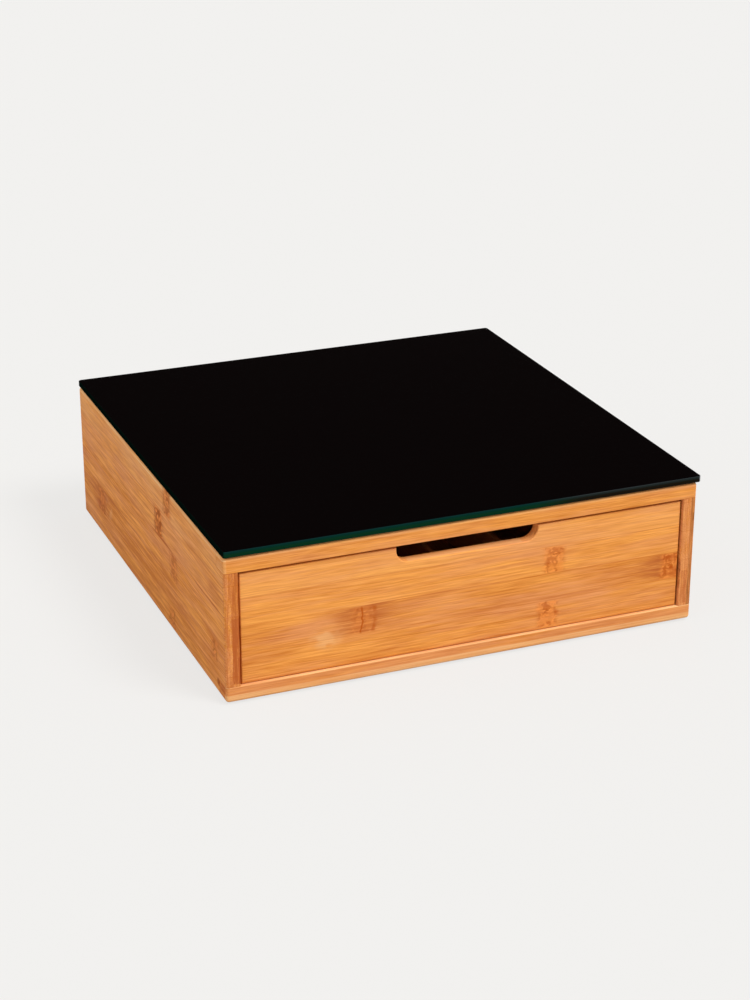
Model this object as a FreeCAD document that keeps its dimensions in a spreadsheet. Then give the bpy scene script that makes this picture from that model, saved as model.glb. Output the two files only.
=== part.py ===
import FreeCAD, Part
import os
import Sketcher

# A bamboo box with one drawer for coffee capsules, under a black glass plate that a machine stands on.
# Millimetres. X runs to the right, Y to the back and Z up. The origin is on the table, under the middle.

SIZES = {
    # the wooden box
    "box_width": 310,
    "box_depth": 316,
    "box_height": 93,
    "panel_thickness": 10,
    "side_thickness": 9,
    "back_thickness": 9,
    "lap_depth": 12.5,
    "lap_seam": 0.2,
    "box_easing": 2,
    "opening_easing": 0.6,
    # the dowels that hold the panels between the sides
    "dowel_diameter": 5,
    "dowel_length": 16,
    "dowel_in_side": 5.5,
    "dowel_end_room": 0.5,
    "dowel_setback": 62,
    # the glass plate, its clear pads and the feet
    "glass_thickness": 4,
    "glass_overhang": 1,
    "glass_shift": 1,
    "glass_corner": 2,
    "glass_bevel": 0.4,
    "pad_diameter": 8,
    "pad_thickness": 0.6,
    "pad_inset": 24,
    "foot_diameter": 12,
    "foot_height": 1.5,
    "foot_rounding": 0.4,
    "foot_inset": 20,
    # the drawer front and its finger notch
    "front_thickness": 8,
    "front_recess": 1.6,
    "front_side_gap": 1.2,
    "front_top_gap": 1.6,
    "front_bottom_gap": 0.4,
    "front_easing": 0.8,
    "notch_width": 93,
    "notch_depth": 10,
    "notch_corner": 8,
    # the walls and the floor of the drawer
    "runner_gap": 0.4,
    "wall_thickness": 8,
    "wall_height": 56,
    "wall_easing": 0.8,
    "wall_back_gap": 1,
    "rabbet_depth": 3,
    "floor_thickness": 4,
    "floor_lift": 3,
    "groove_depth": 4,
    "groove_play": 0.2,
    # the lanes
    "lane_count": 6,
    "divider_thickness": 4,
    "divider_height": 32,
    "divider_seat": 3,
    "divider_play": 0.1,
    "divider_easing": 0.8,
}

SAME_PLACE = 1e-4
ALONG_X = FreeCAD.Rotation(FreeCAD.Vector(0, 1, 0), 90)

doc = FreeCAD.newDocument("capsule_drawer")
sheet = doc.addObject("Spreadsheet::Sheet", "Sizes")
for row, (alias, number) in enumerate(SIZES.items(), start=1):
    sheet.set(f"A{row}", alias)
    sheet.set(f"B{row}", str(number))
    sheet.setAlias(f"B{row}", alias)
doc.recompute()


class Formula:
    """A formula over the sheet's cells, with the number that it gives now."""

    def __init__(self, text, number):
        self.text = text
        self.number = float(number)

    def __add__(self, other):
        other = formula(other)
        return Formula(f"({self.text} + {other.text})", self.number + other.number)

    def __sub__(self, other):
        other = formula(other)
        return Formula(f"({self.text} - {other.text})", self.number - other.number)

    def __mul__(self, other):
        other = formula(other)
        return Formula(f"({self.text} * {other.text})", self.number * other.number)

    def __truediv__(self, other):
        other = formula(other)
        return Formula(f"({self.text} / {other.text})", self.number / other.number)

    def __neg__(self):
        return Formula(f"(-1 * {self.text})", -self.number)


def formula(value):
    """Keeps a formula as it is, and turns a plain number into one."""
    return value if isinstance(value, Formula) else Formula(str(value), value)


def smaller(one, other):
    """The smaller of two formulas."""
    return Formula(f"min({one.text}; {other.text})", min(one.number, other.number))


class Cells:
    """Reads the sheet: size.box_width is the formula for the cell of that name."""

    def __getattr__(self, alias):
        return Formula(f"Sizes.{alias}", sheet.get(alias))


size = Cells()

# The box, from its outside faces inwards.
right = size.box_width / 2
back = size.box_depth / 2
left = -right
front = -back
box_bottom = size.foot_height
box_top = box_bottom + size.box_height
inner_right = right - size.side_thickness
inner_left = -inner_right
inner_back = back - size.back_thickness
opening_bottom = box_bottom + size.panel_thickness
opening_top = box_top - size.panel_thickness
lap_end = front + size.lap_depth
glass_bottom = box_top + size.pad_thickness

# The drawer, from the box's opening inwards.
drawer_right = inner_right - size.front_side_gap
drawer_left = -drawer_right
face = front + size.front_recess
face_bottom = opening_bottom + size.front_bottom_gap
face_top = opening_top - size.front_top_gap
notch_floor = face_top - size.notch_depth
wall_bottom = opening_bottom + size.runner_gap
wall_top = wall_bottom + size.wall_height
inside_start = face + size.front_thickness
wall_start = inside_start - size.rabbet_depth
wall_end = inner_back - size.wall_back_gap
inside_end = wall_end - size.wall_thickness
inside_right = drawer_right - size.wall_thickness
inside_left = -inside_right
floor_bottom = wall_bottom + size.floor_lift
floor_top = floor_bottom + size.floor_thickness
floor_reach = size.groove_depth - size.groove_play
divider_top = floor_top + size.divider_height
divider_reach = size.divider_seat - size.divider_play
lane_width = (inside_right * 2 - size.divider_thickness * (size.lane_count - 1)) / size.lane_count
lane_pitch = lane_width + size.divider_thickness

corner_places = {}


def same(one, other):
    """Whether two places along an axis are one, formulas or numbers."""
    return abs(formula(one).number - formula(other).number) < SAME_PLACE


def between(low, value, high):
    """Whether a place along an axis lies between two others, ends included."""
    return formula(low).number - SAME_PLACE < value < formula(high).number + SAME_PLACE


def bind(thing, **formulas):
    """Ties each named property of an object to its formula."""
    for name, value in formulas.items():
        thing.setExpression(name, formula(value).text)


def put(thing, place):
    """Ties an object's place to three formulas."""
    for axis, value in zip("xyz", place):
        thing.setExpression(f".Placement.Base.{axis}", formula(value).text)


def own_origin(body, role):
    """One of the planes or axes of a body's own origin."""
    return next(feature for feature in body.Origin.OriginFeatures if feature.Role == role)


def new_body(label, place):
    """An empty body whose own origin is at a place in the box's frame."""
    body = doc.addObject("PartDesign::Body", label)
    body.Label = label
    corner_places[label] = [formula(value) for value in place]
    put(body, place)
    return body


def put_within(tool, body, place):
    """Puts a body's own feature at a place in the box's frame."""
    put(tool, [formula(there) - here for there, here in zip(place, corner_places[body.Label])])


def pad_outline(body, role, corners, thickness):
    """Draws an outline given in the box's frame, ties its corners to formulas, and pads it into the body."""
    sketch = body.newObject("Sketcher::SketchObject", f"{body.Label}_outline")
    sketch.AttachmentSupport = [(own_origin(body, role), "")]
    sketch.MapMode = "FlatFace"
    x, y, z = corner_places[body.Label]
    first, second = {"XY_Plane": (x, y), "XZ_Plane": (x, z), "YZ_Plane": (y, z)}[role]
    spots = [(formula(u) - first, formula(v) - second) for u, v in corners]
    points = [FreeCAD.Vector(u.number, v.number, 0) for u, v in spots]
    count = len(points)
    for i in range(count):
        sketch.addGeometry(Part.LineSegment(points[i], points[(i + 1) % count]), False)
    for i in range(count):
        sketch.addConstraint(Sketcher.Constraint("Coincident", i, 2, (i + 1) % count, 1))
    for i, spot in enumerate(spots):
        for kind, value in zip(("DistanceX", "DistanceY"), spot):
            rule = sketch.addConstraint(Sketcher.Constraint(kind, -1, 1, i, 1, value.number))
            sketch.setExpression(f"Constraints[{rule}]", value.text)
    pad = body.newObject("PartDesign::Pad", f"{body.Label}_pad")
    pad.Profile = sketch
    pad.Reversed = role == "XZ_Plane"
    bind(pad, Length=thickness)
    doc.recompute()


def board(label, low, high):
    """A plain board between its lowest and highest corners."""
    body = new_body(label, low)
    corners = [(low[0], low[1]), (high[0], low[1]), (high[0], high[1]), (low[0], high[1])]
    pad_outline(body, "XY_Plane", corners, formula(high[2]) - low[2])
    return body


def disc(label, place, diameter, thickness):
    """A flat round piece on the middle of its lower face."""
    body = new_body(label, place)
    cylinder = body.newObject("PartDesign::AdditiveCylinder", f"{label}_disc")
    bind(cylinder, Radius=diameter / 2, Height=thickness)
    doc.recompute()
    return body


def ease(body, name, radius, chosen):
    """Rounds the edges that the test picks by their middle in the box's frame and their run."""
    base = body.Tip
    names = []
    for number, edge in enumerate(base.Shape.Edges, start=1):
        run = edge.Vertexes[-1].Point - edge.Vertexes[0].Point
        if chosen(body.Placement.Base + edge.CenterOfMass, run):
            names.append(f"Edge{number}")
    fillet = body.newObject("PartDesign::Fillet", f"{body.Label}_{name}")
    fillet.Base = (base, names)
    bind(fillet, Radius=radius)
    body.Tip = fillet
    doc.recompute()


def ease_box_edges(body):
    """Rounds what a panel has of the box's own twelve edges: those that lie on two of its outer faces."""

    def on_two_faces(spot, run):
        across = same(spot.x, left) or same(spot.x, right)
        along = same(spot.y, front) or same(spot.y, back)
        upright = same(spot.z, box_bottom) or same(spot.z, box_top)
        return across + along + upright >= 2

    ease(body, "box_edges", size.box_easing, on_two_faces)


def cut_box(body, name, low, high):
    """Cuts a groove, a slot or a rabbet between its lowest and highest corners."""
    tool = body.newObject("PartDesign::SubtractiveBox", f"{body.Label}_{name}")
    extent = [formula(top) - bottom for bottom, top in zip(low, high)]
    bind(tool, Length=extent[0], Width=extent[1], Height=extent[2])
    put_within(tool, body, low)
    doc.recompute()
    return tool


def bore(body, name, start_x, end_x, y, z):
    """Bores a blind dowel hole across a body."""
    tool = body.newObject("PartDesign::SubtractiveCylinder", f"{body.Label}_{name}")
    bind(tool, Radius=size.dowel_diameter / 2, Height=end_x - start_x)
    tool.Placement = FreeCAD.Placement(FreeCAD.Vector(), ALONG_X)
    put_within(tool, body, (start_x, y, z))
    doc.recompute()


# The carcass. The top and bottom panels run the full width only in a strip at the front, which laps over
# the ends of the sides. Behind that strip they stand between the sides, as the back panel does.

panel_middle = size.panel_thickness / 2
dowel_places = {
    "bottom_ahead": (front + size.dowel_setback, box_bottom + panel_middle),
    "bottom_behind": (back - size.dowel_setback, box_bottom + panel_middle),
    "top_ahead": (front + size.dowel_setback, box_top - panel_middle),
    "top_behind": (back - size.dowel_setback, box_top - panel_middle),
    "back": (back - size.back_thickness / 2, box_bottom + size.box_height / 2),
}
hole_in_side = size.dowel_in_side + size.dowel_end_room
hole_in_panel = size.dowel_length - size.dowel_in_side + size.dowel_end_room


def side_panel(label, outer, low_x):
    """A side: full height behind, and notched at both front corners for the strips of the panels."""
    notch = lap_end + size.lap_seam
    body = new_body(label, (low_x, front, box_bottom))
    corners = [
        (notch, box_bottom), (back, box_bottom), (back, box_top), (notch, box_top),
        (notch, opening_top), (front, opening_top), (front, opening_bottom), (notch, opening_bottom),
    ]
    pad_outline(body, "YZ_Plane", corners, size.side_thickness)
    ease_box_edges(body)
    ease(body, "opening_edge", size.opening_easing,
         lambda spot, run: same(spot.y, front) and not same(spot.x, outer) and abs(run.z) > SAME_PLACE)
    start = inner_left - hole_in_side if same(outer, left) else inner_right
    for name, (y, z) in dowel_places.items():
        bore(body, f"hole_{name}", start, start + hole_in_side, y, z)
    return body


def bore_panel(body, names):
    """Bores both ends of a panel for the dowels that come out of the sides."""
    for name in names:
        bore(body, f"hole_{name}_left", inner_left, inner_left + hole_in_panel, *dowel_places[name])
        bore(body, f"hole_{name}_right", inner_right - hole_in_panel, inner_right, *dowel_places[name])


def lapped_panel(label, bottom, opening_side, names):
    """The top or bottom panel: a full-width strip in front, and the rest between the sides."""
    body = new_body(label, (left, front, bottom))
    corners = [
        (left, front), (right, front), (right, lap_end), (inner_right, lap_end),
        (inner_right, back), (inner_left, back), (inner_left, lap_end), (left, lap_end),
    ]
    pad_outline(body, "XY_Plane", corners, size.panel_thickness)
    ease_box_edges(body)
    ease(body, "opening_edge", size.opening_easing,
         lambda spot, run: same(spot.y, front) and same(spot.z, opening_side))
    bore_panel(body, names)
    return body


def back_panel():
    """The back, between the sides and between the top and bottom panels."""
    body = board("back_panel", (inner_left, inner_back, opening_bottom), (inner_right, back, opening_top))
    bore_panel(body, ["back"])
    return body


def dowels():
    """All the dowels, as one group of separate solids."""
    pins = []
    starts = {
        "left": inner_left - size.dowel_in_side,
        "right": inner_right + size.dowel_in_side - size.dowel_length,
    }
    for name, (y, z) in dowel_places.items():
        for end, x in starts.items():
            pin = doc.addObject("Part::Cylinder", f"dowel_{name}_{end}")
            bind(pin, Radius=size.dowel_diameter / 2, Height=size.dowel_length)
            pin.Placement = FreeCAD.Placement(FreeCAD.Vector(), ALONG_X)
            put(pin, (x, y, z))
            pins.append(pin)
    group = doc.addObject("Part::Compound", "panel_dowels")
    group.Links = pins
    doc.recompute()
    return group


def by_corner(inset):
    """The four places that lie inset from the box's upright edges, by name."""
    x, y = right - inset, back - inset
    return {"front_left": (-x, -y), "front_right": (x, -y), "back_left": (-x, y), "back_right": (x, y)}


def foot(name, x, y):
    """A soft anti-slip foot, rounded where it meets the table."""
    body = disc(f"foot_{name}", (x, y, 0), size.foot_diameter, size.foot_height)
    ease(body, "rounding", size.foot_rounding, lambda spot, run: same(spot.z, 0))
    return body


def glass_pad(name, x, y):
    """A clear pad that the glass lies on."""
    return disc(f"glass_pad_{name}", (x, y, box_top), size.pad_diameter, size.pad_thickness)


def glass_plate():
    """The glass plate, a little larger than the box. It lies loose, and a little to the right."""
    over, shift = size.glass_overhang, size.glass_shift
    glass_top = glass_bottom + size.glass_thickness
    low = (left - over + shift, front - over, glass_bottom)
    body = board("glass_top", low, (right + over + shift, back + over, glass_top))
    ease(body, "corners", size.glass_corner, lambda spot, run: abs(run.z) > SAME_PLACE)
    ease(body, "bevels", size.glass_bevel,
         lambda spot, run: same(spot.z, glass_bottom) or same(spot.z, glass_top))
    return body


# The drawer. Its walls stand in rabbets behind the front, and its back in rabbets between the walls. The
# floor runs in grooves all round, and the dividers stand on it in slots of the front and the back.

def slot_row(body, start_y, end_y):
    """Upright slots for the ends of the dividers, one between each two lanes."""
    play = size.divider_play / 2
    start_x = inside_left + lane_width - play
    low = (start_x, start_y, floor_top)
    high = (start_x + size.divider_thickness + size.divider_play, end_y, divider_top + play)
    slot = cut_box(body, "slot", low, high)
    row = body.newObject("PartDesign::LinearPattern", f"{body.Label}_slots")
    row.Originals = [slot]
    row.Direction = (own_origin(body, "X_Axis"), [""])
    bind(row, Length=lane_pitch * (size.lane_count - 2), Occurrences=size.lane_count - 1)
    body.Tip = row
    doc.recompute()


def drawer_front():
    """The drawer front, with a finger notch open to its top edge."""
    notch_right = size.notch_width / 2
    notch_left = -notch_right
    body = new_body("drawer_front", (drawer_left, face, face_bottom))
    corners = [
        (drawer_left, face_bottom), (drawer_right, face_bottom), (drawer_right, face_top),
        (notch_right, face_top), (notch_right, notch_floor), (notch_left, notch_floor),
        (notch_left, face_top), (drawer_left, face_top),
    ]
    pad_outline(body, "XZ_Plane", corners, size.front_thickness)
    ease(body, "notch_corners", smaller(size.notch_corner, size.notch_depth - size.front_easing),
         lambda spot, run: same(spot.z, notch_floor) and abs(run.y) > SAME_PLACE)
    ease(body, "face_edges", size.front_easing, lambda spot, run: same(spot.y, face))
    ease(body, "notch_back_edges", size.front_easing,
         lambda spot, run: same(spot.y, inside_start)
         and between(notch_left, spot.x, notch_right) and not same(spot.z, face_bottom))
    for end, low_x in (("left", drawer_left), ("right", inside_right)):
        cut_box(body, f"rabbet_{end}", (low_x, wall_start, face_bottom),
                (low_x + size.wall_thickness, inside_start, wall_top))
    cut_box(body, "groove", (inside_left - size.groove_depth, inside_start - size.groove_depth, floor_bottom),
            (inside_right + size.groove_depth, inside_start, floor_top))
    slot_row(body, inside_start - size.divider_seat, inside_start)
    return body


def drawer_wall(label, inner_x):
    """A wall of the drawer, grooved for the floor, with a rabbet behind for the drawer's back."""

    def span(depth):
        """The lowest and highest X from the wall's inner face to a depth in its wood."""
        if inner_x.number < 0:
            return inner_x - depth, inner_x
        return inner_x, inner_x + depth

    low_x, high_x = span(size.wall_thickness)
    body = board(label, (low_x, wall_start, wall_bottom), (high_x, wall_end, wall_top))
    ease(body, "top_edges", size.wall_easing,
         lambda spot, run: same(spot.z, wall_top) and abs(run.y) > SAME_PLACE)
    low_x, high_x = span(size.groove_depth)
    start_y = inside_start - size.groove_depth
    cut_box(body, "groove", (low_x, start_y, floor_bottom), (high_x, wall_end, floor_top))
    low_x, high_x = span(size.rabbet_depth)
    cut_box(body, "rabbet", (low_x, inside_end, wall_bottom), (high_x, wall_end, wall_top))
    return body


def drawer_back():
    """The back of the drawer, between its walls."""
    reach = size.rabbet_depth
    low = (inside_left - reach, inside_end, wall_bottom)
    body = board("drawer_back", low, (inside_right + reach, wall_end, wall_top))
    ease(body, "top_edges", size.wall_easing,
         lambda spot, run: same(spot.z, wall_top) and abs(run.x) > SAME_PLACE)
    cut_box(body, "groove", (inside_left - reach, inside_end, floor_bottom),
            (inside_right + reach, inside_end + size.groove_depth, floor_top))
    slot_row(body, inside_end, inside_end + size.divider_seat)
    return body


def drawer_floor():
    """The floor of the drawer, which reaches into the grooves on all four sides."""
    low = (inside_left - floor_reach, inside_start - floor_reach, floor_bottom)
    return board("drawer_floor", low, (inside_right + floor_reach, inside_end + floor_reach, floor_top))


def divider(number):
    """The divider to the right of a lane, on the floor and in the slots of the front and the back."""
    low_x = inside_left + lane_pitch * number - size.divider_thickness
    body = board(f"lane_divider_{number}", (low_x, inside_start - divider_reach, floor_top),
                 (low_x + size.divider_thickness, inside_end + divider_reach, divider_top))
    ease(body, "top_edges", size.divider_easing,
         lambda spot, run: same(spot.z, divider_top) and abs(run.y) > SAME_PLACE)
    return body


def build():
    """Makes every piece: the box from the table upwards, and then the drawer."""
    pieces = [foot(name, *place) for name, place in by_corner(size.foot_inset).items()]
    pieces.append(lapped_panel("bottom_panel", box_bottom, opening_bottom, ["bottom_ahead", "bottom_behind"]))
    pieces.append(side_panel("left_side_panel", left, left))
    pieces.append(side_panel("right_side_panel", right, inner_right))
    pieces.append(back_panel())
    pieces.append(lapped_panel("top_panel", opening_top, opening_top, ["top_ahead", "top_behind"]))
    pieces.append(dowels())
    pieces += [glass_pad(name, *place) for name, place in by_corner(size.pad_inset).items()]
    pieces.append(glass_plate())
    pieces.append(drawer_front())
    pieces.append(drawer_wall("drawer_left_wall", inside_left))
    pieces.append(drawer_wall("drawer_right_wall", inside_right))
    pieces.append(drawer_back())
    pieces.append(drawer_floor())
    pieces += [divider(number) for number in range(1, round(size.lane_count.number))]
    return pieces


def check(pieces):
    """Stops if anything failed to build, or a cut took nothing away."""
    for thing in doc.Objects:
        if {"Invalid", "Error"} & set(thing.State):
            raise SystemExit(f"{thing.Label} failed: {thing.State}")
        if thing.TypeId.startswith("PartDesign::Subtractive"):
            if thing.Shape.Volume >= thing.BaseFeature.Shape.Volume:
                raise SystemExit(f"{thing.Label} cuts nothing")
    for piece in pieces:
        if piece.Shape.isNull() or not piece.Shape.isValid() or piece.Shape.Volume <= 0:
            raise SystemExit(f"{piece.Label} has no valid shape")


pieces = build()
doc.recompute()
check(pieces)
os.makedirs("parts", exist_ok=True)
for piece in pieces:
    piece.Shape.exportStep(f"parts/{piece.Label}.step")
    print(f"{piece.Label}: {len(piece.Shape.Solids)} solid, {piece.Shape.Volume / 1000:.2f} cm3")
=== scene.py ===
import math
from collections import namedtuple

import bpy
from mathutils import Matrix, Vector


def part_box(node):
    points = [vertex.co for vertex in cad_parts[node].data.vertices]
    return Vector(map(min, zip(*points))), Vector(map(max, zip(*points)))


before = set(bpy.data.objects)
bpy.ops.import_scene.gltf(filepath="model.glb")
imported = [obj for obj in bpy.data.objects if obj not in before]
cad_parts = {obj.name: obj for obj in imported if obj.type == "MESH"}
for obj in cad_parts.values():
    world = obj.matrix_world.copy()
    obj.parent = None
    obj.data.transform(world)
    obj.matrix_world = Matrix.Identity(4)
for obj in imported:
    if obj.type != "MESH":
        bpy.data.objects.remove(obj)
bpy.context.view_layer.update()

# A bamboo drawer box under a black glass plate. Places in the scene are in metres, and what the materials
# draw is in millimetres of the same frame.

TO_MM = 1000.0
SCENE = bpy.context.scene

# Colours as the eye meets them: sRGB values from 0 to 255
BACKGROUND = (242, 241, 239)
CEILING = (24, 23, 23)
LIGHT = (247, 169, 84)
DEEP = (201, 117, 46)
TAN_LIGHT = (237, 162, 100)
TAN_DEEP = (205, 124, 68)
BROWN = (182, 96, 46)
GLOW = (248, 150, 68)
PALE = (242, 190, 132)
STROKE = (182, 80, 16)
LEFT_STROKE = (156, 74, 0)
RIGHT_STROKE = (146, 86, 40)
GLASS_FACE = (5, 2, 2)
GLASS_EDGE, GLASS_EDGE_UPPER = (10, 46, 26), (8, 46, 40)
# painted shade: the cut edge turns darker and greyer towards the right
GLASS_EDGE_SHADED_RIGHT, GLASS_EDGE_SHADED_RIGHT_UPPER = (24, 20, 12), (32, 39, 38)
# painted shade: the side edges of the plate are nearly black
GLASS_SIDE_SHADE = (2, 14, 10)
# painted highlights on the bevels, greyer to the right, and a painted glint at the rounded right corner
GLASS_BEVEL_HIGHLIGHT, GLASS_BEVEL_HIGHLIGHT_RIGHT = (14, 42, 42), (44, 50, 52)
GLASS_GLINT = (112, 114, 120)
DOWEL_WOOD = (214, 172, 122)
SILICONE = (205, 208, 206)
RUBBER = (38, 36, 35)


def colour(rgb, scale=1.0):
    """A display colour as the linear RGBA that a shader takes."""
    def linear(value):
        value /= 255
        return value / 12.92 if value <= 0.04045 else ((value + 0.055) / 1.055) ** 2.4
    return (*(linear(value) * scale for value in rgb), 1.0)


# Shader nodes, written as arithmetic

class Wire:
    """One output of a shader node. Arithmetic on it adds math nodes to its tree."""

    def __init__(self, tree, socket):
        self.tree = tree
        self.socket = socket

    def math(self, operation, *others, clamp=False):
        """Adds a math node, with this wire as its first input."""
        node = self.tree.nodes.new("ShaderNodeMath")
        node.operation = operation
        node.use_clamp = clamp
        for socket, value in zip(node.inputs, (self, *others)):
            plug(self.tree, socket, value)
        return Wire(self.tree, node.outputs[0])

    def __add__(self, other):
        return self.math("ADD", other)

    def __sub__(self, other):
        return self.math("SUBTRACT", other)

    def __mul__(self, other):
        return self.math("MULTIPLY", other)

    def __truediv__(self, other):
        return self.math("DIVIDE", other)

    def __abs__(self):
        return self.math("ABSOLUTE")

    def larger(self, other):
        """The larger of two numbers."""
        return self.math("MAXIMUM", other)

    def floor(self):
        """The whole number below."""
        return self.math("FLOOR")

    def clamp(self):
        """Keeps a number from 0 to 1."""
        return self.math("ADD", 0.0, clamp=True)

    def fade(self, start, end, low=1.0, high=0.0):
        """Goes smoothly from low at start to high at end."""
        node = self.tree.nodes.new("ShaderNodeMapRange")
        node.interpolation_type = "SMOOTHSTEP"
        names = ("Value", "From Min", "From Max", "To Min", "To Max")
        for name, value in zip(names, (self, start, end, low, high)):
            plug(self.tree, node.inputs[name], value)
        return Wire(self.tree, node.outputs["Result"])

    def parts(self):
        """The three parts of a vector or colour."""
        node = self.tree.nodes.new("ShaderNodeSeparateXYZ")
        plug(self.tree, node.inputs[0], self)
        return [Wire(self.tree, output) for output in node.outputs]


def plug(tree, socket, value):
    """Links a wire to an input, or sets the input to a plain value."""
    if isinstance(value, Wire):
        tree.links.new(value.socket, socket)
    else:
        socket.default_value = value


def vector(tree, x, y, z):
    """A vector from three wires or numbers."""
    node = tree.nodes.new("ShaderNodeCombineXYZ")
    for socket, value in zip(node.inputs, (x, y, z)):
        plug(tree, socket, value)
    return Wire(tree, node.outputs[0])


def noise(tree, place, detail=1.0):
    """Soft noise around a half, with one feature to each unit of the place."""
    node = tree.nodes.new("ShaderNodeTexNoise")
    plug(tree, node.inputs["Vector"], place)
    node.inputs["Scale"].default_value = 1.0
    node.inputs["Detail"].default_value = detail
    return Wire(tree, node.outputs["Fac"])


def spots(tree, places, sizes, seed, detail=1.0):
    """Noise with features of the given sizes along two or three axes."""
    scaled = [place / size for place, size in zip(places, sizes)]
    if len(scaled) == 2:
        scaled.append(seed)
    else:
        scaled[2] = scaled[2] + seed
    return noise(tree, vector(tree, *scaled), detail)


def chance(tree, place):
    """Three random numbers from 0 to 1, the same all over a whole-number place."""
    node = tree.nodes.new("ShaderNodeTexWhiteNoise")
    node.noise_dimensions = "3D"
    plug(tree, node.inputs["Vector"], place)
    return Wire(tree, node.outputs["Color"]).parts()


# The places of the Mix node's colour sockets, which share their names with its other kinds of socket
MIX_FIRST, MIX_SECOND, MIX_RESULT = 6, 7, 2


def mix(tree, factor, one, other):
    """Blends two colours."""
    node = tree.nodes.new("ShaderNodeMix")
    node.data_type = "RGBA"
    plug(tree, node.inputs["Factor"], factor)
    plug(tree, node.inputs[MIX_FIRST], one)
    plug(tree, node.inputs[MIX_SECOND], other)
    return Wire(tree, node.outputs[MIX_RESULT])


def new_material(name):
    """A material, with its tree and its shader."""
    material = bpy.data.materials.new(name)
    material.use_nodes = True
    tree = material.node_tree
    return material, tree, tree.nodes["Principled BSDF"]


def surface_wires(tree):
    """The place on the object in metres and the direction that the surface faces, three wires each."""
    node = tree.nodes.new("ShaderNodeTexCoord")
    return [Wire(tree, node.outputs[name]).parts() for name in ("Object", "Normal")]


NUMBER, PLACE, SHADE = "NodeSocketFloat", "NodeSocketVector", "NodeSocketColor"


def new_group(name, inputs, outputs):
    """An empty node group, with wires for its inputs and a function that sets its outputs."""
    tree = bpy.data.node_groups.new(name, "ShaderNodeTree")
    for title, kind, value in inputs:
        socket = tree.interface.new_socket(title, in_out="INPUT", socket_type=kind)
        socket.default_value = value
    for title, kind in outputs:
        tree.interface.new_socket(title, in_out="OUTPUT", socket_type=kind)
    source = tree.nodes.new("NodeGroupInput")
    sink = tree.nodes.new("NodeGroupOutput")
    wires = {title: Wire(tree, source.outputs[title]) for title, _, _ in inputs}
    return tree, wires, lambda title, wire: tree.links.new(wire.socket, sink.inputs[title])


def use_group(tree, group, **values):
    """Adds a group to a tree, and gives its outputs by name."""
    node = tree.nodes.new("ShaderNodeGroup")
    node.node_tree = group
    for name, value in values.items():
        plug(tree, node.inputs[name], value)
    return {output.name: Wire(tree, output) for output in node.outputs}


# The pattern of bamboo. Sizes in it are millimetres: u is along the grain, v across the strips and w
# through the layers.

def knot_group():
    """The ring where a bamboo stalk had a joint: a dark scar, soft curls and a stain to both sides."""
    tree, given, give = new_group("knot", [
        ("Place", PLACE, (0, 0, 0)),
        ("Along", NUMBER, 0.0),
        ("Across", NUMBER, 0.0),
        ("Seed", NUMBER, 0.0),
        ("Scar", NUMBER, 0.0),
        ("Curls", NUMBER, 0.0),
        ("Stain", NUMBER, 0.0),
        ("Reach", NUMBER, 14.0),
    ], [("Dark", NUMBER), ("Brown", NUMBER), ("Glow", NUMBER)])
    u, v, _ = given["Place"].parts()
    seed, along = given["Seed"], given["Along"]
    inside = abs(given["Across"]).fade(0.84, 1.04)
    sway = noise(tree, vector(tree, 0.0, v / 5.0, seed)) - 0.5

    # curls, specks and a ragged ring
    curl = abs(spots(tree, (u, v), (6.0, 4.0), seed) - 0.5).fade(0.02, 0.15)
    speck = spots(tree, (u, v), (3.4, 2.6), seed + 5.0).fade(0.5, 0.66, 0.0, 1.0)
    off = given["Across"] * 7.5
    ragged = spots(tree, (u, v), (5.0, 5.0), seed + 3.0) - 0.5
    ring = abs((along * along + off * off).math("SQRT") + ragged * 9.0 - 5.0).fade(0.6, 1.8) * 0.8
    patchy = spots(tree, (u, v), (5.0, 5.0), seed + 9.0, detail=0.0).fade(0.36, 0.56, 0.3, 1.0)
    near = abs(along + sway * 6.0).fade(4.0, 9.0)
    curls = (curl * 0.7).larger(speck).larger(ring) * patchy

    # the scar is one line, with a fainter one beside it
    scar = abs(along + sway * 5.0).fade(0.15, 1.0)
    beside = abs(along + sway * 6.0 - 8.0).fade(0.4, 2.2) * patchy * 0.7
    scar = scar.larger(beside) * given["Scar"]

    # the stain is darkest at the scar, and ends at its reach
    cloud = spots(tree, (u, v), (16.0, 2.0), seed, detail=2.0)
    spread = abs(along) / given["Reach"]
    stain = spread.fade(0.0, 1.0) * cloud.fade(0.34, 0.62, 0.3, 1.0) * given["Stain"]

    # between the curls the wood is a brighter orange
    give("Dark", scar.larger(curls * near * given["Curls"]) * inside)
    give("Brown", stain * inside)
    give("Glow", near * inside * given["Curls"] * (curls * -1.0 + 1.0))
    return tree


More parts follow.
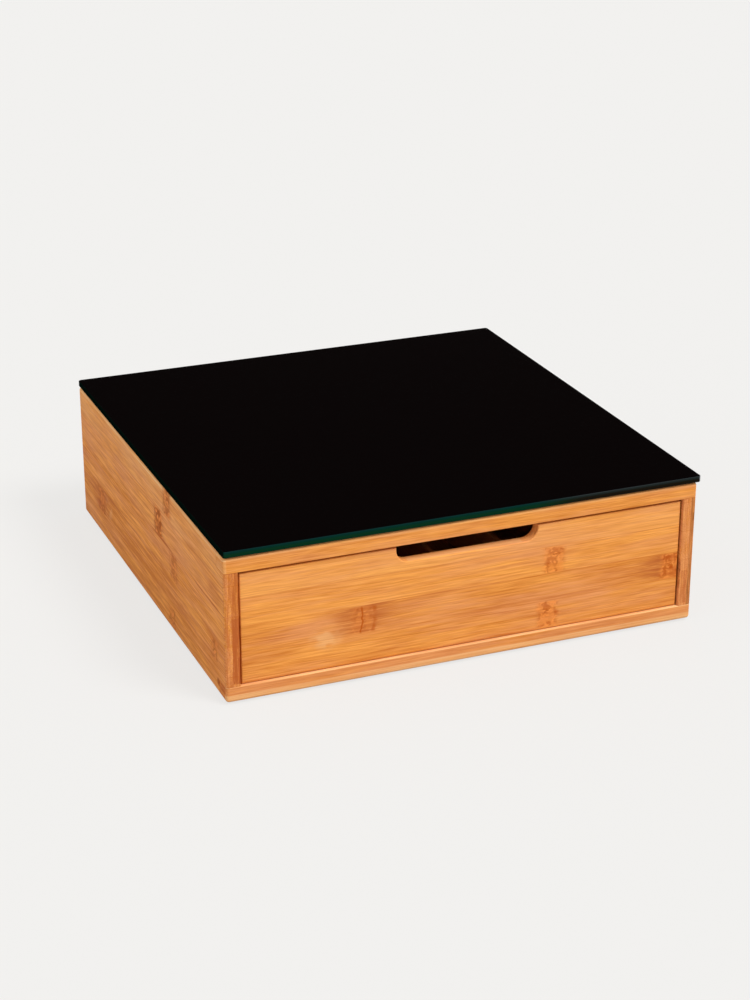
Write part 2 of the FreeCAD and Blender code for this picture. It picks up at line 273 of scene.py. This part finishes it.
def bamboo_group():
    """Laminated bamboo: fibres along the grain, and the dots and lines of cut fibres on its ends.

    Strip and Layer number the piece of bamboo that a point lies in, Seam is how far its glue line is, and
    End is one where the surface cuts the grain. Deep, Brown, Tan and Pale are tones laid over the fibres,
    and Pale also lays painted highlights on some edges and painted light on the floor of the finger notch.
    Dark is the strokes of the knots and other dark marks, one of them painted shade in a seam, and Glow the
    brighter wood between the strokes."""
    tree, given, give = new_group("bamboo", [
        ("Place", PLACE, (0, 0, 0)),
        ("End", NUMBER, 0.0),
        ("Seed", NUMBER, 0.0),
        ("Strip", NUMBER, 0.0),
        ("Layer", NUMBER, 0.0),
        ("Seam", NUMBER, 0.0),
        ("Contrast", NUMBER, 1.0),
        ("Dark", NUMBER, 0.0),
        ("Glow", NUMBER, 0.0),
        ("Deep", NUMBER, 0.0),
        ("Brown", NUMBER, 0.0),
        ("Tan", NUMBER, 0.0),
        ("Pale", NUMBER, 0.0),
        ("Stroke", SHADE, colour(STROKE)),
    ], [("Color", SHADE), ("Roughness", NUMBER), ("Height", NUMBER)])
    u, v, w = given["Place"].parts()
    seed, end = given["Seed"], given["End"]
    luck_tone, luck_hue, _ = chance(tree, vector(tree, given["Strip"], given["Layer"], seed))

    # fibres, which wave a little
    wave = (spots(tree, (u, v), (80.0, 14.0), seed, detail=2.0) - 0.5) * 2.6
    side = v + wave
    fine = spots(tree, (u, side, w), (14.0, 0.55, 0.55), seed)
    streak = spots(tree, (u, side, w), (40.0, 1.0, 1.0), seed)
    band = spots(tree, (u, side, w), (80.0, 3.5, 3.5), seed, detail=2.0)
    tint = noise(tree, vector(tree, u / 30.0, side / 1.8, w / 1.8 - seed))
    cloud = spots(tree, (u, v, w), (60.0, 12.0, 12.0), seed)
    lines = spots(tree, (v, w), (16.0, 0.8), seed)
    dots = spots(tree, (v, w), (0.7, 0.7), seed)

    # how deep and how warm the wood is
    grain = ((fine - 0.5) * 1.1 + (streak - 0.5) * 0.9 + (band - 0.5) * 0.5) * given["Contrast"]
    cut = (lines - 0.5) * 2.0 + (dots - 0.5) * 1.3 + 0.25
    tone = (grain * (end * -1.0 + 1.0) + cut * end + luck_tone * 0.12 + given["Deep"] + 0.2).clamp()
    hue = ((cloud - 0.5) * 1.8 + (tint - 0.5) * 1.4) * given["Contrast"]
    warm = (hue + luck_hue * 0.3 + given["Tan"] + 0.15).clamp()
    light = mix(tree, warm, colour(LIGHT), colour(TAN_LIGHT))
    dull = mix(tree, warm, colour(DEEP), colour(TAN_DEEP))
    shade = mix(tree, tone, light, dull)

    # the tones laid over it, among them painted highlights, painted light and painted seam shade,
    # the glue lines and the strokes of the knots
    shade = mix(tree, given["Pale"].clamp(), shade, colour(PALE))
    shade = mix(tree, (given["Brown"] * (tone * 0.5 + 0.65)).clamp(), shade, colour(BROWN))
    shade = mix(tree, given["Glow"].clamp() * 0.6, shade, colour(GLOW))
    shade = mix(tree, given["Seam"].fade(0.1, 0.5, 0.22, 0.0), shade, colour(STROKE))
    shade = mix(tree, given["Dark"].clamp() * 0.85, shade, given["Stroke"])
    give("Color", shade)
    give("Roughness", fine.fade(0.3, 0.7, 0.56, 0.46) + end * 0.08)
    give("Height", fine * 0.6 - given["Dark"] * 0.5 - dots * end * 0.5)
    return tree


KNOT = knot_group()
BAMBOO = bamboo_group()
KNOT_REACH = 45.0
KNOT_SPACING = 240.0
KNOT_SEED_STEP = 7.3
BOARD_SEED_STEP = 3.7
BLOCK_EDGE = 0.5
FIBRE_DEPTH = 0.00004
WOOD_GLOSS = 0.02

# How a board is cut: the axes along its grain and across its strips, where its first strip starts and how
# wide its strips are, and the same for its layers. Then what is drawn on it, its tones, and the
# colour of its dark strokes.
Board = namedtuple(
    "Board",
    "grain across strip_start strip_width layer_start layer_height"
    " knots patches blocks deep pale contrast stroke",
    defaults=(18.0, 0.0, 100.0, (), (), (), 0.0, 0.0, 1.0, STROKE))

# A knot has its middle, half the width of its strip, the strengths of its scar, curls and stain, and how
# far the stain reaches. A patch is a soft oval and a block a box, each of one tone.
Knot = namedtuple("Knot", "along across half scar curls stain reach")
Patch = namedtuple("Patch", "kind along across half_along half_across strength")
Block = namedtuple("Block", "kind along across through strength")


def board_wires(tree, board):
    """The place in the board's own axes, and how squarely a surface cuts the grain."""
    place, normal = surface_wires(tree)
    grain, across = "XYZ".index(board.grain), "XYZ".index(board.across)
    through = 3 - grain - across
    order = [place[axis] * TO_MM for axis in (grain, across, through)]
    return order, abs(normal[grain]).fade(0.6, 0.9, 0.0, 1.0)


def drawn_knot(u, v, seed, knots):
    """What the knot group needs where the knots are listed one by one. No two of them reach one point."""
    here = [abs(u - knot.along).math("LESS_THAN", KNOT_REACH)
            * abs(v - knot.across).math("LESS_THAN", knot.half) for knot in knots]

    def choose(values):
        total = 0.0
        for inside, value in zip(here, values):
            total = inside.math("MULTIPLY_ADD", value, total)
        return total

    chosen = {field: choose(getattr(knot, field) for knot in knots) for field in Knot._fields}
    seeds = (seed + number * KNOT_SEED_STEP for number in range(len(knots)))
    return {"Along": u - chosen["along"], "Across": (v - chosen["across"]) / chosen["half"],
            "Seed": choose(seeds), "Scar": chosen["scar"], "Curls": chosen["curls"],
            "Stain": chosen["stain"], "Reach": chosen["reach"]}


def chance_knot(tree, u, v, end, board, strip, layer, across, seed):
    """What the knot group needs for one knot to a strip in each spacing, at a place left to chance.

    The inner side of the stalk shows the scar and its stain, the outer side mostly curls."""
    luck_place, luck_side, luck_strength = chance(tree, vector(tree, strip, layer, seed + 0.5))
    turns = u / KNOT_SPACING + luck_place
    along = (turns - turns.floor() - 0.5) * KNOT_SPACING
    shown = v.fade(board.strip_start - 0.2, board.strip_start, 0.0, 1.0) * (end * -1.0 + 1.0)
    shown = shown * (luck_strength * 0.5 + 0.6)
    inner_side = luck_side.fade(0.45, 0.55, 0.0, 1.0)
    return {"Along": along, "Across": across, "Seed": strip + seed, "Scar": inner_side * shown,
            "Curls": (inner_side * -0.5 + 0.8) * shown, "Stain": (inner_side * 0.6 + 0.2) * shown}


def lay_patches(tree, tones, patches, u, v, seed):
    """Lays the patches over the tones: blotches where they are pale, otherwise streaks along the grain."""
    streaks = spots(tree, (u, v), (14.0, 1.6), seed).fade(0.3, 0.6, 0.55, 1.0)
    blotches = spots(tree, (u, v), (9.0, 7.0), seed).fade(0.4, 0.58, 0.1, 1.0)
    for patch in patches:
        along = (u - patch.along) / patch.half_along
        off = (v - patch.across) / patch.half_across
        soft = (along * along + off * off).math("SQRT").fade(0.3, 1.0) * patch.strength
        soft = soft * (blotches if patch.kind == "Pale" else streaks)
        tones[patch.kind] = soft.larger(tones[patch.kind])


def within(place, span):
    """One between two places, and zero outside them, with a soft edge."""
    low, high = span
    half = (high - low) / 2
    return abs(place - (low + half)).fade(half, half + BLOCK_EDGE)


def lay_blocks(tree, tones, blocks, u, v, w, seed):
    """Lays the blocks over the tones, a little uneven along the grain."""
    mottle = spots(tree, (u, v, w), (60.0, 12.0, 0.9), seed).fade(0.3, 0.7, 0.55, 1.3)
    for block in blocks:
        inside = within(u, block.along) * within(v, block.across) * within(w, block.through)
        tones[block.kind] = (inside * mottle * block.strength).larger(tones[block.kind])


def bamboo(name, seed, board):
    """A bamboo material for one board."""
    material, tree, shader = new_material(name)
    (u, v, w), end = board_wires(tree, board)
    place = vector(tree, u, v, w)

    # the strip and the layer that a point lies in
    strip_place = (v - board.strip_start) / board.strip_width
    strip = strip_place.floor()
    across = (strip_place - strip - 0.5) * 2.0
    layer = ((w - board.layer_start) / board.layer_height).floor()
    seam = (abs(across) * -1.0 + 1.0) * (board.strip_width / 2)

    # its knots, and what is drawn on it
    if board.knots:
        knot = drawn_knot(u, v, seed, board.knots)
    else:
        knot = chance_knot(tree, u, v, end, board, strip, layer, across, seed)
    tones = {"Deep": board.deep, "Tan": 0.0, "Pale": board.pale}
    tones.update(use_group(tree, KNOT, Place=place, **knot))
    if board.patches:
        lay_patches(tree, tones, board.patches, u, v, seed)
    if board.blocks:
        lay_blocks(tree, tones, board.blocks, u, v, w, seed)

    made = use_group(tree, BAMBOO, Place=place, End=end, Seed=seed, Strip=strip, Layer=layer, Seam=seam,
                     Contrast=board.contrast, Stroke=colour(board.stroke), **tones)
    bump = tree.nodes.new("ShaderNodeBump")
    bump.inputs["Strength"].default_value = 1.0
    bump.inputs["Distance"].default_value = FIBRE_DEPTH
    plug(tree, bump.inputs["Height"], made["Height"])
    plug(tree, shader.inputs["Base Color"], made["Color"])
    plug(tree, shader.inputs["Roughness"], made["Roughness"])
    plug(tree, shader.inputs["Normal"], Wire(tree, bump.outputs["Normal"]))
    shader.inputs["Specular IOR Level"].default_value = WOOD_GLOSS
    return material


# The boards, from their corners in the frame

def low_corner(node):
    """The lowest corner of a node in millimetres."""
    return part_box(node)[0] * TO_MM


def high_corner(node):
    """The highest corner of a node in millimetres."""
    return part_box(node)[1] * TO_MM


LEFT, AHEAD, LOW = low_corner("left_side_panel")
INNER_LEFT, _, HIGH = high_corner("left_side_panel")
INNER_RIGHT = low_corner("right_side_panel").x
RIGHT = -LEFT
STRIP_TOP = high_corner("bottom_panel").z
ALL_WIDE, ALL_HIGH = (LEFT, RIGHT), (LOW, HIGH)

# How far back the front strips of the top and bottom panels lap over the sides
LAP = 12.5


def strip_middles(start, width, count):
    """The middles of a board's strips, from the lowest up."""
    return [start + width * (number + 0.5) for number in range(count)]


def strip_blocks(middles, width, along, through, tones):
    """A block over each strip of a board, from the lowest up, of the kind and strength given for it."""
    return tuple(Block(kind, along, (middle - width / 2, middle + width / 2), through, strength)
                 for middle, (kind, strength) in zip(middles, tones))


# The drawer front: four knots in the middles of its strips, the last of them at its right end, a paler
# spot at its left, browner zones, and painted light on the floor of the finger notch, which lies in the
# shade of the rail above it
_, FACE, FRONT_LOW = low_corner("drawer_front")
FRONT_START, FRONT_STRIP = FRONT_LOW + 0.9, 18.1
FRONT_MIDDLES = strip_middles(FRONT_START, FRONT_STRIP, 4)
FRONT_KNOTS = (
    Knot(-69, FRONT_MIDDLES[1], 9, 1.0, 0.4, 0.85, 26),
    Knot(58, FRONT_MIDDLES[2], 9, 0.0, 0.9, 0.15, 9),
    Knot(54, FRONT_MIDDLES[0], 9, 0.0, 0.9, 0.15, 10),
    Knot(140, FRONT_MIDDLES[1], 9, 0.2, 0.9, 1.1, 38),
)
FRONT_PATCHES = (
    Patch("Pale", -91, FRONT_LOW + 21, 14, 11, 0.45),
    Patch("Brown", -58, FRONT_MIDDLES[1] + 8.4, 16, 1.3, 0.9),
    Patch("Tan", -60, FRONT_MIDDLES[1], 110, 11, 0.6),
    Patch("Tan", 70, FRONT_MIDDLES[0] + 9, 90, 20, 0.6),
)
NOTCH_FLAT, NOTCH_DEPTH = 38.5, 10
NOTCH_FLOOR = high_corner("drawer_front").z - NOTCH_DEPTH
# painted light: brightens the notch floor, which lies in the shade of the rail above
NOTCH_PAINTED_LIGHT = Block("Pale", (-NOTCH_FLAT, NOTCH_FLAT - 2), (NOTCH_FLOOR - 0.2, NOTCH_FLOOR + 4),
                    (FACE + 1, FACE + 20), 0.45)
FRONT_TONES = (("Deep", 0.36), ("Deep", 0.44), ("Deep", 0.08), ("Pale", 0.08))
FRONT_BLOCKS = (NOTCH_PAINTED_LIGHT,) + strip_blocks(FRONT_MIDDLES, FRONT_STRIP, ALL_WIDE, (AHEAD, AHEAD + 20),
                                             FRONT_TONES)

# The left side: knots in all its strips, a few glue lines that show, and some browner and paler zones
SIDE_START, SIDE_STRIP = LOW - 2.6, 19.4
SIDE_MIDDLES = strip_middles(SIDE_START, SIDE_STRIP, 5)
SIDE_KNOTS = (
    Knot(AHEAD + 110, SIDE_MIDDLES[4], 9.5, 0.5, 0.8, 0.8, 12),
    Knot(AHEAD + 129, SIDE_MIDDLES[3], 9.5, 0.8, 1.3, 1.0, 16),
    Knot(AHEAD + 99, SIDE_MIDDLES[2], 9.5, 0.3, 0.6, 0.7, 12),
    Knot(AHEAD + 267, SIDE_MIDDLES[1], 9.5, 0.5, 0.7, 1.0, 26),
    Knot(AHEAD + 106, SIDE_MIDDLES[0] + 2, 7, 0.0, 0.6, 0.5, 10),
    Knot(AHEAD + 21, SIDE_MIDDLES[1], 7, 0.0, 0.6, 0.3, 8),
)
SIDE_PATCHES = (
    Patch("Brown", AHEAD + 30, LOW + 55.6, 40, 1.1, 1.2),
    Patch("Brown", AHEAD + 123, LOW + 55.6, 30, 1.1, 1.2),
    Patch("Brown", AHEAD + 225, LOW + 35.4, 90, 1.0, 0.9),
    Patch("Brown", AHEAD + 290, LOW + 28.2, 18, 1.4, 1.0),
    Patch("Brown", AHEAD + 17, LOW + 65, 18, 10, 0.4),
    Patch("Brown", AHEAD + 4, LOW + 84, 4, 4, 0.7),
    Patch("Dark", AHEAD + 14.4, LOW + 7.7, 3.6, 3.6, 1.2),
    Patch("Deep", AHEAD + 236, LOW + 10, 85, 7, 0.45),
    Patch("Pale", AHEAD + 251, SIDE_MIDDLES[1], 12, 9, 0.4),
)

# Thin blocks colour a surface, and reach out of it by a skin. On the left side each strip has a tone of its
# own, and its rounded upper edge has a painted highlight. The front ends of both sides have browner layers.
# The top strip has painted highlights along its upper edges and is a little pale at its left end. The
# bottom strip is tan above and pale below, with a painted highlight along its inner edge, and its left end
# is reddish, with a dark line of painted shade where it meets the side.
SKIN = 1.0
AT_FRONT = (AHEAD - SKIN, AHEAD + 2)
AT_TOP = (HIGH - 1.8, HIGH + SKIN)
AT_LEFT = (LEFT - SKIN, LEFT + 1.8)
LEFT_END = (LEFT - SKIN, LEFT + 1)
OUTER_LAYER, OUTER_LAYER_RIGHT = (LEFT - SKIN, LEFT + 5.4), (RIGHT - 3.2, RIGHT + SKIN)
OVER_LAP = (AHEAD, AHEAD + LAP)
SIDE_TONES = (("Deep", 0.35), ("Deep", 0.5), ("Deep", 0.4), ("Pale", 0.07), ("Pale", 0.2))
LEFT_BLOCKS = strip_blocks(SIDE_MIDDLES, SIDE_STRIP, (AHEAD + 1, -AHEAD + SKIN), (LEFT - SKIN, LEFT + 3),
                           SIDE_TONES) + (
    # painted highlight along the rounded upper edge, under the glass
    Block("Pale", (AHEAD - SKIN, -AHEAD), AT_TOP, AT_LEFT, 0.7),
    Block("Tan", AT_FRONT, ALL_HIGH, OUTER_LAYER, 0.5),
    Block("Brown", AT_FRONT, (LOW + 12, LOW + 54), (LEFT + 4.8, INNER_LEFT), 1.1),
    Block("Brown", AT_FRONT, (LOW + 48, HIGH), (LEFT + 5.4, INNER_LEFT), 0.6),
    Block("Brown", AT_FRONT, ALL_HIGH, OUTER_LAYER, 0.2),
)
RIGHT_BLOCKS = (
    Block("Dark", AT_FRONT, (LOW + 38, HIGH), OUTER_LAYER_RIGHT, 0.55),
    Block("Dark", AT_FRONT, (LOW, LOW + 38), OUTER_LAYER_RIGHT, 0.75),
    Block("Dark", AT_FRONT, (LOW + 68, LOW + 73), (RIGHT - 2, RIGHT + SKIN), 1.0),
    Block("Brown", AT_FRONT, (LOW + 12, LOW + 34), (RIGHT - 7.5, RIGHT - 3.5), 0.5),
    Block("Tan", AT_FRONT, ALL_HIGH, (INNER_RIGHT - SKIN, RIGHT), 0.8),
)
TOP_BLOCKS = (
    # painted highlights along the front and left upper edges, under the glass
    Block("Pale", ALL_WIDE, AT_FRONT, AT_TOP, 0.25),
    Block("Pale", AT_LEFT, OVER_LAP, AT_TOP, 0.7),
    Block("Pale", AT_LEFT, OVER_LAP, (HIGH - 12, HIGH), 0.25),
)
BOTTOM_BLOCKS = (
    Block("Brown", LEFT_END, (AHEAD + 2, AHEAD + 10), (LOW + 5, STRIP_TOP), 0.7),
    # painted shade: a dark line in the seam where the strip meets the side
    Block("Dark", LEFT_END, (AHEAD + 11.6, AHEAD + LAP), (LOW + 5, STRIP_TOP), 0.9),
    Block("Tan", ALL_WIDE, AT_FRONT, (LOW + 4.5, STRIP_TOP), 0.5),
    Block("Pale", ALL_WIDE, AT_FRONT, (LOW - SKIN, LOW + 4.5), 0.55),
    # painted highlight along the upper front edge, beside the drawer front
    Block("Pale", ALL_WIDE, AT_FRONT, (STRIP_TOP - 0.3, STRIP_TOP + SKIN), 0.7),
)

BOARDS = {
    "drawer_front": Board("X", "Z", FRONT_START, FRONT_STRIP,
                          knots=FRONT_KNOTS, patches=FRONT_PATCHES, blocks=FRONT_BLOCKS),
    "left_side_panel": Board("Y", "Z", SIDE_START, SIDE_STRIP, layer_start=LEFT + 0.2, layer_height=5.2,
                             knots=SIDE_KNOTS, patches=SIDE_PATCHES, blocks=LEFT_BLOCKS,
                             deep=0.28, contrast=1.5, stroke=LEFT_STROKE),
    "right_side_panel": Board("Y", "Z", LOW + 3, SIDE_STRIP, layer_start=INNER_RIGHT, layer_height=5.8,
                              blocks=RIGHT_BLOCKS, deep=0.15, stroke=RIGHT_STROKE),
    "top_panel": Board("X", "Y", AHEAD + LAP, layer_start=LOW, layer_height=5.0,
                       blocks=TOP_BLOCKS, deep=0.22),
    "bottom_panel": Board("X", "Y", AHEAD + LAP, layer_start=LOW, layer_height=5.0,
                          blocks=BOTTOM_BLOCKS, deep=0.4, pale=0.05),
    "back_panel": Board("X", "Z", LOW + 5),
    "drawer_left_wall": Board("Y", "Z", LOW, pale=0.4),
    "drawer_right_wall": Board("Y", "Z", LOW + 7, pale=0.4),
    "drawer_back": Board("X", "Z", LOW + 4, pale=0.4),
    "drawer_floor": Board("Y", "X", 5.0, 24.0, pale=0.45),
}
DIVIDERS = sorted(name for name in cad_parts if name.startswith("lane_divider"))
BOARDS.update({name: Board("Y", "Z", LOW + 3 + number * 5, pale=0.4)
               for number, name in enumerate(DIVIDERS)})


# The other materials

def plain(name, shade, roughness):
    """A material of one shade with a little unevenness in its gloss."""
    material, tree, shader = new_material(name)
    shader.inputs["Base Color"].default_value = colour(shade)
    place, _ = surface_wires(tree)
    grain = noise(tree, vector(tree, *(axis * TO_MM for axis in place)), detail=2.0)
    plug(tree, shader.inputs["Roughness"], grain.fade(0.3, 0.7, roughness * 0.8, roughness * 1.2))
    return material


def black_glass():
    """Glass that is black behind. Its cut edge is green in front, with painted shade that makes it darker
    and greyer to the right, bevel and all. Its side edges get painted shade and its bevels painted
    highlights.

    The edge has no gloss, so that its green isn't washed out by the pale room."""
    material, tree, shader = new_material("black_glass")
    (x, _, z), (turn, _, up) = surface_wires(tree)
    low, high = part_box("glass_top")
    thick = high.z - low.z

    # where on the plate a point lies, each from zero to one
    flat = abs(up).fade(0.8, 0.95, 0.0, 1.0)
    bevel = abs(abs(up) - 0.6).fade(0.15, 0.4)
    sideways = abs(turn).fade(0.6, 0.9, 0.0, 1.0)
    right = x.fade(high.x * 0.25, high.x * 0.5, 0.0, 1.0)
    upper = z.fade(low.z + thick * 0.45, low.z + thick * 0.8, 0.0, 1.0)

    # the cut edge in front, with painted shade that darkens and greys it to the right, and painted shade at
    # the sides
    edge = mix(tree, upper, colour(GLASS_EDGE), colour(GLASS_EDGE_UPPER))
    edge_shaded_right = mix(tree, upper, colour(GLASS_EDGE_SHADED_RIGHT), colour(GLASS_EDGE_SHADED_RIGHT_UPPER))
    edge = mix(tree, right, edge, edge_shaded_right)
    edge = mix(tree, sideways, edge, colour(GLASS_SIDE_SHADE))

    # painted highlights on the ground bevels, painted shade on those that face left,
    # and a painted glint at the rounded corner on the right
    bevel_highlight = mix(tree, right, colour(GLASS_BEVEL_HIGHLIGHT), colour(GLASS_BEVEL_HIGHLIGHT_RIGHT))
    bevel_highlight = mix(tree, turn.fade(-0.6, -0.3), bevel_highlight, colour(GLASS_SIDE_SHADE))
    edge = mix(tree, bevel, edge, bevel_highlight)
    glint = turn.fade(0.2, 0.45, 0.0, 1.0) * turn.fade(0.8, 0.98)
    edge = mix(tree, glint, edge, colour(GLASS_GLINT))

    plug(tree, shader.inputs["Base Color"], mix(tree, flat, edge, colour(GLASS_FACE)))
    plug(tree, shader.inputs["Specular IOR Level"], flat.fade(0.0, 1.0, 0.0, 0.5))
    shader.inputs["Roughness"].default_value = 0.04
    return material


def paint(node, material):
    """Makes a material the only one of a node."""
    node.data.materials.clear()
    node.data.materials.append(material)


def paint_everything():
    """Gives every node of the frame its material."""
    for seed, (name, board) in enumerate(BOARDS.items(), start=1):
        paint(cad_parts[name], bamboo(f"bamboo_{name}", seed * BOARD_SEED_STEP, board))
    others = {
        "dowel": plain("dowel_wood", DOWEL_WOOD, 0.6),
        "pad": plain("clear_silicone", SILICONE, 0.3),
        "foot": plain("foot_rubber", RUBBER, 0.7),
        "glass_top": black_glass(),
    }
    for name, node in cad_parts.items():
        if name not in BOARDS:
            paint(node, next(material for kind, material in others.items() if kind in name))


# The studio: a pale floor and a pale room with a dark ceiling, which the glass mirrors

FLOOR_HALF = 12.0
FLOOR_SHADOW = 0.12
FLOOR_BRIGHTNESS = 0.96
FLOOR_BOUNCE = (0.5, 0.5, 0.5, 1)
ROOM_LIGHT = 0.55
CEILING_START, CEILING_FULL = 0.25, 0.3
CAMERA_PLACE = Vector((-0.50277, -1.24825, 0.60706))
CAMERA_TURN = 0.385
CAMERA_TILT = 0.395
CAMERA_LENS = 78.79


def seen_rays(tree):
    """One for what the camera, a mirror or clear glass sees, and zero for light that bounces."""
    node = tree.nodes.new("ShaderNodeLightPath")
    camera, glossy, through = [Wire(tree, node.outputs[name])
                               for name in ("Is Camera Ray", "Is Glossy Ray", "Is Transmission Ray")]
    return camera.larger(glossy).larger(through)


def shader_mix(tree, factor, one, other):
    """Blends two shaders."""
    node = tree.nodes.new("ShaderNodeMixShader")
    plug(tree, node.inputs[0], factor)
    tree.links.new(one, node.inputs[1])
    tree.links.new(other, node.inputs[2])
    return node.outputs[0]


def one_colour(tree, kind, shade):
    """A shader of the given kind with one colour."""
    node = tree.nodes.new(kind)
    node.inputs["Color"].default_value = shade
    return node.outputs[0]


def make_floor():
    """A plain pale floor that takes a light shadow."""
    mesh = bpy.data.meshes.new("floor")
    ring = [(-1, -1), (1, -1), (1, 1), (-1, 1)]
    mesh.from_pydata([(x * FLOOR_HALF, y * FLOOR_HALF, 0) for x, y in ring], [], [(0, 1, 2, 3)])
    floor = bpy.data.objects.new("floor", mesh)
    SCENE.collection.objects.link(floor)
    material, tree, shader = new_material("floor")
    tree.nodes.remove(shader)
    glow = one_colour(tree, "ShaderNodeEmission", colour(BACKGROUND, FLOOR_BRIGHTNESS))
    shaded = one_colour(tree, "ShaderNodeBsdfDiffuse", colour(BACKGROUND))
    bounced = one_colour(tree, "ShaderNodeBsdfDiffuse", FLOOR_BOUNCE)
    shown = shader_mix(tree, FLOOR_SHADOW, glow, shaded)
    result = shader_mix(tree, seen_rays(tree), bounced, shown)
    tree.links.new(result, tree.nodes["Material Output"].inputs["Surface"])
    mesh.materials.append(material)


def make_world():
    """Plain soft light from all round. To the eye the room is pale up to where its dark ceiling starts."""
    world = bpy.data.worlds.new("studio")
    world.use_nodes = True
    SCENE.world = world
    tree = world.node_tree
    light = tree.nodes["Background"]
    light.inputs["Color"].default_value = (1, 1, 1, 1)
    light.inputs["Strength"].default_value = ROOM_LIGHT
    height = Wire(tree, tree.nodes.new("ShaderNodeTexCoord").outputs["Generated"]).parts()[2]
    pale = height.fade(CEILING_START, CEILING_FULL)
    seen = tree.nodes.new("ShaderNodeBackground")
    plug(tree, seen.inputs["Color"], mix(tree, pale, colour(CEILING), colour(BACKGROUND)))
    result = shader_mix(tree, seen_rays(tree), light.outputs[0], seen.outputs[0])
    tree.links.new(result, tree.nodes["World Output"].inputs["Surface"])


def make_sun(name, towards, strength, spread):
    """A soft lamp as far as the sun, in the direction of the vector, with its spread in degrees."""
    lamp = bpy.data.lights.new(name, "SUN")
    lamp.energy = strength * math.pi
    lamp.angle = math.radians(spread)
    sun = bpy.data.objects.new(name, lamp)
    sun.rotation_mode = "QUATERNION"
    sun.rotation_quaternion = Vector(towards).to_track_quat("Z", "Y")
    SCENE.collection.objects.link(sun)


def make_camera():
    """The photograph's camera: its place in metres, its turn to the right and its tilt down in radians."""
    lens = bpy.data.cameras.new("camera")
    lens.lens = CAMERA_LENS
    camera = bpy.data.objects.new("camera", lens)
    level = math.cos(CAMERA_TILT)
    ahead = Vector((math.sin(CAMERA_TURN) * level, math.cos(CAMERA_TURN) * level, -math.sin(CAMERA_TILT)))
    camera.location = CAMERA_PLACE
    camera.rotation_mode = "QUATERNION"
    camera.rotation_quaternion = ahead.to_track_quat("-Z", "Y")
    SCENE.collection.objects.link(camera)
    SCENE.camera = camera


SCENE.view_settings.view_transform = "Standard"
make_camera()
make_world()
make_floor()
make_sun("key", towards=(0.45, -0.6, 0.95), strength=0.8, spread=25)
make_sun("left", towards=(-0.9, -0.2, 0.5), strength=0.22, spread=60)
paint_everything()
